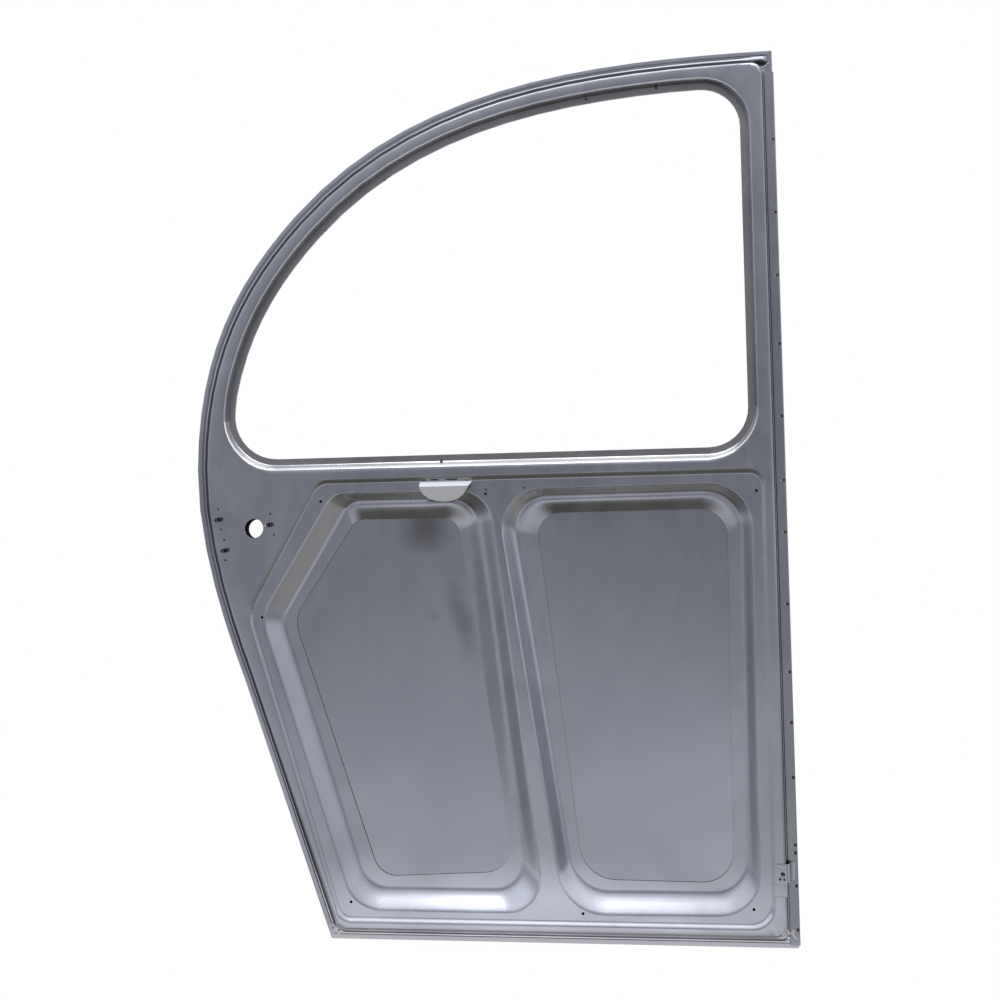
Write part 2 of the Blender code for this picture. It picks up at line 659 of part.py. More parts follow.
def hinge_strip(material, collection):
    # A leg on the hem, bent round the edge and rolled into a bead on the outside
    edge = SEAM_GAP + STRIP_SHEET / 2
    leg_level = -SEAM_GAP - STRIP_SHEET / 2
    bead_middle_radius = STRIP_BEAD_RADIUS - STRIP_SHEET / 2
    bead_level = SKIN_LEVEL + SKIN_SHEET / 2 + SEAM_GAP + STRIP_BEAD_RADIUS
    profile = [Vector((-STRIP_LEG, leg_level))]
    bend = Vector((edge - STRIP_BEND_RADIUS, leg_level + STRIP_BEND_RADIUS))
    for step in range(STRIP_BEND_STEPS + 1):
        angle = math.pi / 2 * step / STRIP_BEND_STEPS
        profile.append(bend + STRIP_BEND_RADIUS * Vector((math.sin(angle), -math.cos(angle))))
    centre = Vector((edge - bead_middle_radius, bead_level))
    for step in range(STRIP_BEAD_STEPS + 1):
        angle = STRIP_BEAD_TURN * step / STRIP_BEAD_STEPS
        profile.append(centre + bead_middle_radius * Vector((math.cos(angle), math.sin(angle))))
    mesh = bmesh.new()
    lengths = STRIP_TOP_HEIGHT - STRIP_FOOT_HEIGHT
    verts = [mesh.verts.new((point.x, point.y, STRIP_FOOT_HEIGHT)) for point in profile]
    edges = [mesh.edges.new(pair) for pair in zip(verts, verts[1:])]
    for _ in range(STRIP_STATIONS):
        grown = bmesh.ops.extrude_edge_only(mesh, edges=edges)["geom"]
        moved = [item for item in grown if isinstance(item, bmesh.types.BMVert)]
        bmesh.ops.translate(mesh, verts=moved, vec=(0, 0, lengths / STRIP_STATIONS))
        edges = [item for item in grown if isinstance(item, bmesh.types.BMEdge)]
    return finish_sheet("hinge_strip", mesh, STRIP_SHEET, material, collection)


def nut_cage(number, place, material, collection):
    # A folded hat over the nut, its two flanges on the back of the frame
    base_level = FACE_LEVEL + FRAME_SHEET / 2 + SEAM_GAP + CAGE_SHEET / 2
    back_level = FACE_LEVEL + FRAME_SHEET / 2 + SEAM_GAP + NUT_THICKNESS + SEAM_GAP + CAGE_SHEET / 2
    wall = CAGE_HALF_WIDTH
    profile = ((-wall - CAGE_FLANGE, base_level), (-wall, base_level), (-wall, back_level),
               (wall, back_level), (wall, base_level), (wall + CAGE_FLANGE, base_level))
    mesh = bmesh.new()
    verts = [mesh.verts.new((-CAGE_LENGTH / 2, level, across)) for across, level in profile]
    edges = [mesh.edges.new(pair) for pair in zip(verts, verts[1:])]
    grown = bmesh.ops.extrude_edge_only(mesh, edges=edges)["geom"]
    moved = [item for item in grown if isinstance(item, bmesh.types.BMVert)]
    bmesh.ops.translate(mesh, verts=moved, vec=(CAGE_LENGTH, 0, 0))
    cage = finish_sheet(f"nut_cage_{number}", mesh, CAGE_SHEET, material, collection)
    cage.location = (place[0], 0, place[1])
    cage.rotation_euler = (0, -LOCK_TILT, 0)
    return cage


def cage_nut(number, place, material, collection, cutters):
    level = FACE_LEVEL + FRAME_SHEET / 2 + SEAM_GAP + NUT_THICKNESS / 2
    bpy.ops.mesh.primitive_cube_add(size=1, location=(place[0], level, place[1]), rotation=(0, -LOCK_TILT, 0))
    nut = bpy.context.object
    nut.name = f"cage_nut_{number}"
    nut.data.transform(Matrix.Diagonal((NUT_SIDE, NUT_THICKNESS, NUT_SIDE, 1)))
    bpy.ops.mesh.primitive_cylinder_add(vertices=LOCK_STEPS, radius=NUT_BORE_RADIUS,
                                        depth=NUT_THICKNESS + CUT_OVERRUN, location=(place[0], level, place[1]),
                                        rotation=(math.pi / 2, 0, 0))
    bore = bpy.context.object
    bore.name = f"nut_bore_{number}"
    place_in(bore, cutters)
    hide_cutter(bore)
    cut_from(nut, bore)
    bevel = nut.modifiers.new("edge", 'BEVEL')
    bevel.width = NUT_BEVEL
    bevel.segments = 1
    bevel.limit_method = 'ANGLE'
    place_in(nut, collection)
    nut.data.materials.append(material)
    return nut


def place_in(item, collection):
    for owner in list(item.users_collection):
        owner.objects.unlink(item)
    collection.objects.link(item)


def hide_cutter(item):
    item.hide_render = True
    item.display_type = 'WIRE'


def cut_from(item, cutter):
    cut = item.modifiers.new("cut", 'BOOLEAN')
    cut.object = cutter
    cut.operation = 'DIFFERENCE'
    cut.solver = 'EXACT'
    return cut


def grip_plate(outline, material, collection):
    # A half moon, held at its straight top edge, whose lower part leans in to the well's ridge
    left = rear_edge_x(outline, WELL_TOP_HEIGHT) * GRIP_ACROSS_SHARE - GRIP_WIDTH / 2
    drop = GRIP_TOP_HEIGHT - GRIP_FOOT_HEIGHT
    top_level = CARD_LEVEL - FRAME_SHEET / 2 - SEAM_GAP - GRIP_SHEET / 2
    reach = RIDGE_LEVEL - CARD_LEVEL
    mesh = bmesh.new()
    points = [(left + GRIP_WIDTH * across, GRIP_TOP_HEIGHT - drop * down) for across, down in GRIP_RIM_SHARES]
    verts = [mesh.verts.new((x, top_level, z)) for x, z in points]
    mesh.faces.new(verts)
    bend_height = GRIP_TOP_HEIGHT - GRIP_BEND_DROP
    for height in (bend_height, bend_height - GRIP_SHEET, bend_height + GRIP_SHEET):
        geometry = list(mesh.verts) + list(mesh.edges) + list(mesh.faces)
        bmesh.ops.bisect_plane(mesh, geom=geometry, plane_co=(0, 0, height), plane_no=(0, 0, 1),
                               dist=POINT_TOLERANCE)
    for vert in mesh.verts:
        lean = max(0.0, bend_height - vert.co.z) / (bend_height - GRIP_FOOT_HEIGHT)
        rise = max(0.0, vert.co.z - bend_height) / GRIP_BEND_DROP
        vert.co.y += reach * lean - GRIP_STAND_OFF * (1 - lean) * (1 - rise * rise)
    return finish_sheet("grip_plate", mesh, GRIP_SHEET, material, collection)


def check_bracket(material, collection, cutters):
    # A pad on the raised face with a leg that steps down over the wall to the hinge strip
    pad_level = FACE_LEVEL - FRAME_SHEET / 2 - SEAM_GAP - BRACKET_SHEET / 2
    foot_level = -SEAM_GAP - STRIP_SHEET - SEAM_GAP - BRACKET_SHEET / 2
    knee = HINGE_BORDER - BRACKET_WALL_CLEARANCE
    toe = BRACKET_FOOT_BORDER + BRACKET_TOE
    notch_height = BRACKET_FOOT_HEIGHT + BRACKET_NOTCH_HEIGHT
    top_height = BRACKET_FOOT_HEIGHT + BRACKET_HEIGHT
    corners = [Vector((-knee - BRACKET_PAD_WIDTH, pad_level)), Vector((-knee, pad_level)),
               Vector((-toe, foot_level)), Vector((-BRACKET_FOOT_BORDER, foot_level))]
    profile = [corners[0]]
    for before, corner, after in zip(corners, corners[1:], corners[2:]):
        profile += rounded(before, corner, after, BRACKET_BEND_RADIUS, BRACKET_BEND_STEPS)
    profile.append(corners[-1])
    mesh = bmesh.new()
    verts = [mesh.verts.new((point.x, point.y, BRACKET_FOOT_HEIGHT)) for point in profile]
    edges = [mesh.edges.new(pair) for pair in zip(verts, verts[1:])]
    for height in (notch_height - BRACKET_FOOT_HEIGHT, top_height - notch_height):
        grown = bmesh.ops.extrude_edge_only(mesh, edges=edges)["geom"]
        moved = [item for item in grown if isinstance(item, bmesh.types.BMVert)]
        bmesh.ops.translate(mesh, verts=moved, vec=(0, 0, height))
        edges = [item for item in grown if isinstance(item, bmesh.types.BMEdge)]
    spare = [face for face in mesh.faces if face.calc_center_median().z < notch_height
             and face.calc_center_median().x > -knee - BRACKET_BEND_RADIUS]
    bmesh.ops.delete(mesh, geom=spare, context='FACES')
    bracket = finish_sheet("check_bracket", mesh, BRACKET_SHEET, material, collection)
    hole_x = -knee - BRACKET_PAD_WIDTH * BRACKET_HOLE_SHARES[0]
    hole_z = BRACKET_FOOT_HEIGHT + BRACKET_HEIGHT * BRACKET_HOLE_SHARES[1]
    bpy.ops.mesh.primitive_cylinder_add(vertices=BRACKET_HOLE_STEPS, radius=BRACKET_HOLE_RADIUS,
                                        depth=BRACKET_SHEET + CUT_OVERRUN, location=(hole_x, pad_level, hole_z),
                                        rotation=(math.pi / 2, 0, 0))
    hole = bpy.context.object
    hole.name = "bracket_hole"
    place_in(hole, cutters)
    hide_cutter(hole)
    cut_from(bracket, hole)
    return bracket


def build():
    clear_scene()
    parts = new_collection("car_door_shell")
    cutters = new_collection("cutters")
    outline = door_outline()
    window = window_outline(outline)
    pressed = steel("inner_steel", (0.42, 0.42, 0.46), 0.42)
    skin = steel("skin_steel", (0.36, 0.36, 0.40), 0.48)
    strip = steel("strip_steel", (0.40, 0.40, 0.43), 0.45)
    bright = steel("grip_steel", (0.70, 0.70, 0.75), 0.30)
    dark = steel("bracket_steel", (0.30, 0.30, 0.32), 0.50)
    inner_frame(outline, window, pressed, parts)
    outer_skin(outline, window, skin, parts)
    hinge_strip(strip, parts)
    for number, place in enumerate(slot_places(outline), start=1):
        nut_cage(number, place, dark, parts)
        cage_nut(number, place, dark, parts, cutters)
    grip_plate(outline, bright, parts)
    check_bracket(dark, parts, cutters)


build()
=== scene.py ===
import math

import bmesh
import bpy
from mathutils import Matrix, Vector
from mathutils.bvhtree import BVHTree
from mathutils.noise import noise as wave


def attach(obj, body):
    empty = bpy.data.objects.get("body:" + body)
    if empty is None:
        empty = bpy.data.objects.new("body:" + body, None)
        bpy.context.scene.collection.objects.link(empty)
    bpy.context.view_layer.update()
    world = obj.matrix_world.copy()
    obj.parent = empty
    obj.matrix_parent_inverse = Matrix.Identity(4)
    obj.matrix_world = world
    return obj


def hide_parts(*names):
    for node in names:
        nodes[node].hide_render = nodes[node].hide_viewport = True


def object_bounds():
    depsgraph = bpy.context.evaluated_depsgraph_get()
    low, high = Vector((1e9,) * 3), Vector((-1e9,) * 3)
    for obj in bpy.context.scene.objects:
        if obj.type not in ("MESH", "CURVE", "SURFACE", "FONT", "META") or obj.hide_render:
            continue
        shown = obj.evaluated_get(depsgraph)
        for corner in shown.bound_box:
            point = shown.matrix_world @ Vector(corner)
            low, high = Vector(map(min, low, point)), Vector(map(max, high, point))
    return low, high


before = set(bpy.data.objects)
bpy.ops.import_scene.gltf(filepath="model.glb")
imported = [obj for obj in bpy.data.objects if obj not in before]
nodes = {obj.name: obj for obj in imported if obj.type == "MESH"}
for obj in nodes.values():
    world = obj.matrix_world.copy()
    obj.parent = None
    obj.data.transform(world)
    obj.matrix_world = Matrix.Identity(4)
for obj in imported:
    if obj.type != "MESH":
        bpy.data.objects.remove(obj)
cadLow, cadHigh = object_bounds()
print("frame loaded")


class Sock:  # a node's output that can be used in sums
    def __init__(self, graph, socket):
        self.graph = graph
        self.socket = socket

    def sum(self, operation, first, second):
        return self.graph.add("Math", {"operation": operation}, {0: first, 1: second})

    def __add__(self, other):
        return self.sum("ADD", self, other)

    def __radd__(self, other):
        return self.sum("ADD", other, self)

    def __sub__(self, other):
        return self.sum("SUBTRACT", self, other)

    def __rsub__(self, other):
        return self.sum("SUBTRACT", other, self)

    def __mul__(self, other):
        return self.sum("MULTIPLY", self, other)

    def __rmul__(self, other):
        return self.sum("MULTIPLY", other, self)

    def clamped(self, low=0.0, high=1.0):
        return self.graph.add("Clamp", {}, {"Value": self, "Min": low, "Max": high})


class Graph:  # one material's or world's nodes
    def __init__(self, owner):
        owner.use_nodes = True
        self.tree = owner.node_tree

    def cleared(self):
        for node in list(self.tree.nodes):
            self.tree.nodes.remove(node)
        return self

    def add(self, kind, settings=None, inputs=None, output=0):
        node = self.tree.nodes.new("ShaderNode" + kind)
        for key, value in (settings or {}).items():
            if key == "stops":
                ramp = node.color_ramp
                while len(ramp.elements) < len(value):
                    ramp.elements.new(0.5)
                for element, (place, colour) in zip(ramp.elements, value):
                    element.position = place
                    element.color = colour
            else:
                setattr(node, key, value)
        for key, value in (inputs or {}).items():
            self.join(node.inputs[key], value)
        return Sock(self, node.outputs[output])

    def join(self, target, value):
        if isinstance(value, Sock):
            self.tree.links.new(value.socket, target)
        else:
            target.default_value = value

    def noise(self, scale, detail, stretch=(1, 1, 1), warp=0.0):
        spot = self.add("TexCoord", output="Object")
        spot = self.add("Mapping", {}, {"Vector": spot, "Scale": stretch})
        inputs = {"Vector": spot, "Scale": scale, "Detail": detail, "Distortion": warp}
        return self.add("TexNoise", {}, inputs)

    def spread(self, value, low, high):
        return self.add("MapRange", {"clamp": True}, {"Value": value, "From Min": low, "From Max": high})

    def blend(self, factor, first, second, way="MIX"):
        node = self.tree.nodes.new("ShaderNodeMix")
        node.data_type = "RGBA"
        node.blend_type = way
        self.join(node.inputs[0], factor)
        self.join(node.inputs[6], first)
        self.join(node.inputs[7], second)
        return Sock(self, node.outputs[2])  # inputs 6 and 7 and output 2 are the node's colours


def rgb(colour):
    return (*colour, 1.0)


camera = {
    "spot": (-0.17444, -1.50980, 0.44789),
    "turn": (93.938, 0.838, 6.962),  # degrees about X, Y and Z
    "lens": 42.948,
    "sensor": 36,
    "nearClip": 0.02,
}


def makeCamera():
    lens = bpy.data.cameras.new("photoView")
    lens.sensor_width = camera["sensor"]
    lens.lens = camera["lens"]
    lens.clip_start = camera["nearClip"]
    eye = bpy.data.objects.new("photoView", lens)
    eye.location = camera["spot"]
    eye.rotation_euler = [math.radians(angle) for angle in camera["turn"]]
    bpy.context.scene.collection.objects.link(eye)
    bpy.context.scene.camera = eye


makeCamera()
bpy.context.scene.view_settings.view_transform = "Standard"
print("camera placed")

# each patch (painted shade and sheen, and darker tones): x, z, half width, half height, turn in degrees,
# softness, tint
frameShadeSheenAndMarks = [
    (-0.0155, 1.1030, 0.0105, 0.0040, -8, 0.30, (0.10, 0.10, 0.09)),  # painted shade of the mitre gap in the top corner
    (-0.5705, 0.0195, 0.0040, 0.0018, 25, 0.60, (0.45, 0.44, 0.43)),  # darker patches round the rear foot weld
    (-0.5790, 0.0120, 0.0016, 0.0034, 15, 0.60, (0.50, 0.49, 0.50)),
    (-0.3990, 0.5745, 0.0022, 0.0070, 32, 0.50, (0.22, 0.22, 0.22)),  # shade at the grip plate's end
    # painted soft shade beside the grip plate
    (-0.4000, 0.5500, 0.0130, 0.0260, 20, 0.90, (0.78, 0.77, 0.76)),
    (-0.3300, 0.0300, 0.4600, 0.0700, 0, 0.80, (1.60, 1.58, 1.58)),  # painted sheen along the foot
    (-0.3740, 0.3500, 0.0110, 0.1750, -6, 0.50, (0.74, 0.72, 0.72)),  # painted shade on the strip between the wells
]
skinShadeAndMarks = [
    # painted shade at the top of the rear well, below the grip plate
    (-0.4550, 0.5180, 0.0300, 0.0340, 0, 0.95, (0.56, 0.53, 0.51)),
    (-0.4080, 0.3980, 0.0150, 0.0560, -16, 0.90, (0.74, 0.73, 0.74)),
    (-0.4452, 0.4045, 0.0070, 0.0070, 0, 0.90, (0.86, 0.86, 0.88)),
]
patchEdge = {
    "noiseShare": 0.6,  # noise steps to the patch's half width
    "detail": 2.0,
    "raggedness": 0.5,
    "outerShare": 0.4,  # share of the softness that reaches past the edge
}


def withPaintedShadeAndMarks(graph, colour, shadeAndMarks):
    for x, z, wide, high, turn, softness, tint in shadeAndMarks:
        spot = graph.add("Mapping", {"vector_type": "TEXTURE"}, {
            "Vector": graph.add("TexCoord", output="Object"),
            "Location": (x, 0, z),
            "Rotation": (0, math.radians(turn), 0),
            "Scale": (wide, 1, high),
        })
        far = graph.add("VectorMath", {"operation": "LENGTH"}, {0: spot}, output="Value")
        wander = graph.noise(patchEdge["noiseShare"] / wide, patchEdge["detail"]) - 0.5
        inside = graph.add("MapRange", {"interpolation_type": "SMOOTHSTEP"}, {
            "Value": far + wander * patchEdge["raggedness"],
            "From Min": 1.0 - softness,
            "From Max": 1.0 + softness * patchEdge["outerShare"],
            "To Min": 1.0,
            "To Max": 0.0,
        })
        colour = graph.blend(inside, colour, rgb(tint), "MULTIPLY")
    return colour


plainLook = {
    "light": (0.50, 0.50, 0.54),
    "dark": (0.40, 0.40, 0.44),
    "roughness": 0.28,
    "cloudScale": 7.0,
    "smearScale": 34.0,
    "grainScale": 260.0,
    "grainHeight": 0.0000002,
    "metallic": 1.0,
    "shadeAndMarks": [],
}
skinLook = {"light": (0.465, 0.465, 0.505), "dark": (0.425, 0.425, 0.465), "roughness": 0.24}

# what each finish changes in the plain look
steelLooks = {
    "pressedSteel": {"shadeAndMarks": frameShadeSheenAndMarks},
    "skinSteel": skinLook,
    "skinInside": {**skinLook, "shadeAndMarks": skinShadeAndMarks},
    "stripSteel": {"light": (0.40, 0.40, 0.43), "dark": (0.32, 0.32, 0.35), "roughness": 0.34},
    "brightSteel": {"light": (1, 1, 1), "dark": (0.95, 0.95, 0.98), "roughness": 0.30, "metallic": 0.0},
    "darkSteel": {"light": (0.17, 0.17, 0.18), "dark": (0.10, 0.10, 0.11), "roughness": 0.42},
    # dark finish for punches: heat tint at spot welds, painted shade in slots, nicks and the bracket's
    # hole
    "burntSteel": {"light": (0.12, 0.115, 0.115), "dark": (0.05, 0.05, 0.05), "roughness": 0.50},
    "weldSteel": {"light": (0.68, 0.67, 0.69), "dark": (0.50, 0.49, 0.50), "roughness": 0.36},
    # a near-white copy that paints the highlight on up-facing window reveals
    "edgeSteel": {"light": (0.97, 0.97, 0.98), "dark": (0.90, 0.90, 0.92), "roughness": 0.20},
    "flangeSteel": {"light": (0.42, 0.41, 0.41), "dark": (0.32, 0.31, 0.31), "roughness": 0.32},
    # a darker copy that paints the shade on downward-facing card steps
    "stepSteel": {"light": (0.37, 0.365, 0.38), "dark": (0.30, 0.295, 0.31), "roughness": 0.40},
    # a dark copy that paints the shade in the border's groove
    "grooveSteel": {"light": (0.20, 0.20, 0.21), "dark": (0.13, 0.13, 0.14), "roughness": 0.38},
    # a pale copy that paints the highlight on upward-facing card steps
    "brightStep": {"light": (0.92, 0.92, 0.96), "dark": (0.82, 0.82, 0.86)},
}
satin = {  # how every steel varies over its surface
    "clouds": {"detail": 3.0, "warp": 0.6},
    "smears": {"detail": 4.0, "warp": 0.8, "stretch": (1.0, 1.0, 0.45)},
    "grain": {"detail": 2.0, "stretch": (1.0, 1.0, 0.3)},
    "cloudRange": (0.35, 0.65),
    "smearRange": (0.3, 0.7),
    "cloudTone": 0.6,  # shares of the tone between dark and light
    "smearTone": 0.4,
    "smearRoughness": 0.03,
    "grainRoughness": 0.01,
    "cloudRoughness": 0.03,
    "bumpStrength": 0.6,
}


def satinSteel(name, changes):
    look = {**plainLook, **changes}
    material = bpy.data.materials.new(name)
    graph = Graph(material)
    shader = graph.tree.nodes["Principled BSDF"]
    clouds = graph.spread(graph.noise(look["cloudScale"], **satin["clouds"]), *satin["cloudRange"])
    smears = graph.spread(graph.noise(look["smearScale"], **satin["smears"]), *satin["smearRange"])
    grain = graph.noise(look["grainScale"], **satin["grain"])
    tone = (clouds * satin["cloudTone"] + smears * satin["smearTone"]).clamped()
    colour = withPaintedShadeAndMarks(graph, graph.blend(tone, rgb(look["dark"]), rgb(look["light"])), look["shadeAndMarks"])
    rough = look["roughness"] + (smears - 0.5) * satin["smearRoughness"]
    rough = rough + (grain - 0.5) * satin["grainRoughness"] - (clouds - 0.5) * satin["cloudRoughness"]
    bump = graph.add("Bump", {}, {
        "Height": grain,
        "Distance": look["grainHeight"],
        "Strength": satin["bumpStrength"],
    })
    graph.join(shader.inputs["Base Color"], colour)
    graph.join(shader.inputs["Roughness"], rough)
    graph.join(shader.inputs["Normal"], bump)
    shader.inputs["Metallic"].default_value = look["metallic"]
    return material


steels = {name: satinSteel(name, changes) for name, changes in steelLooks.items()}
print("steel mixed")

frameAreas = {
    "windowCentre": (-0.33, 0.82),
    "sillFoot": 0.590,  # the window's surround lies above this height
    "flangeLevels": (-0.0032, -0.0018),  # levels are measured along Y
    "flatFace": 0.9,  # how squarely a flange face looks at the cabin
    "revealLevels": (-0.0150, -0.0029),
    "facesOpening": 0.25,  # how much a reveal face looks into the opening
    "litReveal": 0.08,  # reveal faces that look up more than this get a painted highlight
    # sloped faces in the border's groove get painted shade
    "grooveLevels": (-0.0148, -0.0012),
    "grooveSlope": (-0.93, 0),  # slopes are the Y part of a face's direction
    "stepLevels": (-0.01585, -0.0129),
    "stepSlope": (-0.995, 0),
    "shadedStep": -0.05,  # steps that face down get painted shade, steps that face up get a painted highlight
    "litStep": 0.20,
}
cardEdges = {  # the trim card's place on the frame
    "rear": -0.7605,
    "rearTaperTop": 0.55,  # below this height the rear edge slants forward
    "rearTaper": 0.318,  # by this much for its drop
    "rearBorder": 0.024,
    "hingeSide": -0.022,
    "foot": 0.016,
}


def between(value, limits):
    low, high = limits
    return low < value < high


def insideCard(place):
    taper = max(0.0, cardEdges["rearTaperTop"] - place.z) * cardEdges["rearTaper"]
    rear = cardEdges["rear"] + taper + cardEdges["rearBorder"]
    return between(place.x, (rear, cardEdges["hingeSide"])) and place.z > cardEdges["foot"]


def borderArea(place, way):
    inGroove = between(place.y, frameAreas["grooveLevels"]) and between(way.y, frameAreas["grooveSlope"])
    return "groove" if inGroove else "plain"


def windowArea(place, way):
    if between(place.y, frameAreas["flangeLevels"]) and abs(way.y) > frameAreas["flatFace"]:
        return "flange"
    across, up = frameAreas["windowCentre"]
    inward = Vector((across - place.x, 0, up - place.z)).normalized()
    facesOpening = way.y < 0 and way.dot(inward) > frameAreas["facesOpening"]
    if between(place.y, frameAreas["revealLevels"]) and facesOpening:
        return "reveal" if way.z > frameAreas["litReveal"] else "plain"
    return borderArea(place, way)


def cardArea(place, way):
    onStep = between(place.y, frameAreas["stepLevels"]) and between(way.y, frameAreas["stepSlope"])
    if onStep and way.z < frameAreas["shadedStep"]:
        return "shadedStep"
    if onStep and way.z > frameAreas["litStep"]:
        return "litStep"
    return "plain"


def frameArea(face):
    place = face.calc_center_median()
    if place.z > frameAreas["sillFoot"]:
        return windowArea(place, face.normal)
    if insideCard(place):
        return cardArea(place, face.normal)
    return borderArea(place, face.normal)


skinInsideLimit = -0.3  # faces that look at the cabin more than this show the painted shade and the darker marks


def skinArea(face):
    return "inside" if face.normal.y < skinInsideLimit else "outside"


def plainArea(face):
    return "plain"


sheetForm = {
    "sharpAngle": 40.0,  # bends past this angle keep a crisp edge
    "weldDistance": 0.00002,
    "evenness": 60,
}


def linked(name, mesh, materials):
    data = bpy.data.meshes.new(name)
    mesh.to_mesh(data)
    mesh.free()
    for material in materials:
        data.materials.append(material)
    item = bpy.data.objects.new(name, data)
    bpy.context.scene.collection.objects.link(item)
    return item


# a smoothly shaded copy of one sheet, in which areaOf names the finish of each face
def smoothSheetOf(node, name, finishes, areaOf=plainArea, punches=()):
    areas = list(finishes)
    mesh = bmesh.new()
    mesh.from_mesh(nodes[node].data)
    for face in mesh.faces:
        face.material_index = areas.index(areaOf(face))
    item = linked(name, mesh, finishes.values())
    if punches:
        punch(item, punches)
    softenBends(item, tintAndShadeIndex=len(areas))
    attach(item, "root")
    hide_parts(node)


def softenBends(item, tintAndShadeIndex):
    mesh = bmesh.new()
    mesh.from_mesh(item.data)
    bmesh.ops.remove_doubles(mesh, verts=mesh.verts, dist=sheetForm["weldDistance"])
    limit = math.radians(sheetForm["sharpAngle"])
    for face in mesh.faces:
        face.smooth = True
    for edge in mesh.edges:
        sides = edge.link_faces
        edge.smooth = (len(sides) == 2 and edge.calc_face_angle(0) < limit
                       and (sides[0].material_index == tintAndShadeIndex) == (sides[1].material_index == tintAndShadeIndex))
    mesh.to_mesh(item.data)
    mesh.free()
    even = item.modifiers.new("evenNormals", "WEIGHTED_NORMAL")
    even.keep_sharp = True
    even.weight = sheetForm["evenness"]


cabin = {
    "sheets": ["inner_frame", "outer_skin", "hinge_strip", "check_bracket", "grip_plate"],
    "viewLevel": -0.2,  # in front of every sheet
    "rimLevel": -0.0029,  # over an opening the nearest sheet is sought from this level
}


def cabinFaces():
    mesh = bmesh.new()
    for sheet in cabin["sheets"]:
        mesh.from_mesh(nodes[sheet].data)
    tree = BVHTree.FromBMesh(mesh)
    mesh.free()
    return tree


cabinTree = cabinFaces()


def onCabinSide(x, z):
    place, normal, _, _ = cabinTree.ray_cast(Vector((x, cabin["viewLevel"], z)), Vector((0, 1, 0)))
    if place is None:
        place, _, _, _ = cabinTree.find_nearest(Vector((x, cabin["rimLevel"], z)))
        normal = Vector((0, -1, 0))
    return place, normal


punchTool = {
    "roundness": 3,
    "middle": 0.02,  # share of the ball's radius that a slot's length doesn't stretch
}


def punchBall(mesh, x, z, radius, depth, length):
    place, normal = onCabinSide(x, z)
    ball = (radius * radius + depth * depth) / (2 * depth)
    made = bmesh.ops.create_icosphere(mesh, subdivisions=punchTool["roundness"], radius=ball)
    for vert in made["verts"]:
        if length and abs(vert.co.x) > ball * punchTool["middle"]:
            vert.co.x += math.copysign(length / 2, vert.co.x)
        vert.co = vert.co + place + normal * (ball - depth)


def punch(item, punches):  # press bowls and slots into a sheet and give them the dark finish: heat tint at spot welds, painted shade in slots, nicks and the bracket's hole
    mesh = bmesh.new()
    for row in punches:
        punchBall(mesh, *row)
    cutter = linked(item.name + "Cutter", mesh, item.data.materials[:] + [steels["burntSteel"]])
    for face in cutter.data.polygons:
        face.material_index = len(cutter.data.materials) - 1
    item.data.materials.append(steels["burntSteel"])
    cut = item.modifiers.new("punches", "BOOLEAN")
    cut.operation = "DIFFERENCE"
    cut.solver = "EXACT"
    cut.object = cutter
    graph = bpy.context.evaluated_depsgraph_get()
    item.data = bpy.data.meshes.new_from_object(item.evaluated_get(graph))
    item.modifiers.clear()
    bpy.data.objects.remove(cutter, do_unlink=True)


# each punch: x, z, radius, depth, length
framePunches = [
    (-0.7251, 0.5475, 0.0016, 0.0005, 0),  # pits round the lock
    (-0.7212, 0.5214, 0.0015, 0.0005, 0),
    (-0.7168, 0.5081, 0.0016, 0.0005, 0),
    (-0.7148, 0.4813, 0.0016, 0.0005, 0),
    (-0.6549, 0.5404, 0.0016, 0.0005, 0),
    (-0.6503, 0.5133, 0.0015, 0.0005, 0),
    (-0.3736, 0.5652, 0.0014, 0.0005, 0),  # pits beside the grip plate
    (-0.3249, 0.5662, 0.0016, 0.0004, 0),
    (-0.4535, 0.5795, 0.0010, 0.0008, 0.0050),  # dark dashes over the grip plate, painted shade of its slot
    (-0.4395, 0.5796, 0.0010, 0.0008, 0.0085),
    (-0.4170, 0.5797, 0.0010, 0.0008, 0.0140),
    (-0.5744, 0.9045, 0.0017, 0.0004, 0),  # spot welds on the window's flange
    (-0.4952, 0.9649, 0.0017, 0.0004, 0),
    (-0.6358, 0.8356, 0.0017, 0.0004, 0),
    (-0.6856, 0.7391, 0.0016, 0.0004, 0),
    (-0.2374, 1.0691, 0.0016, 0.0004, 0),
    (-0.1472, 1.0777, 0.0016, 0.0004, 0),
    (-0.4320, 0.6048, 0.0016, 0.0004, 0),
    (-0.0192, 0.0921, 0.0024, 0.0007, 0),  # dark bowl behind the bracket's hole, painted shade seen through it
]
bracketPunches = [
    (-0.0224, 0.0862, 0.0017, 0.0005, 0),  # pits under the bracket's hole
    (-0.0176, 0.0858, 0.0015, 0.0005, 0),
]
nicks = {  # down the hinge strip, each with a bead of weld beside it
    "heights": [1.0022, 0.9083, 0.8277, 0.7406, 0.6492, 0.5691, 0.5045, 0.4157, 0.3325, 0.2712, 0.2047,
                0.1237, 0.1142, 0.0748, 0.0226],
    "across": -0.0014,
    "radius": 0.0022,
    "depth": 0.0006,
    "beadAcross": -0.0058,
    "beadDrop": 0.0006,
    "beadRadius": 0.0009,
    "beadHeight": 0.0006,
}
stripPunches = [(nicks["across"], z, nicks["radius"], nicks["depth"], 0) for z in nicks["heights"]]

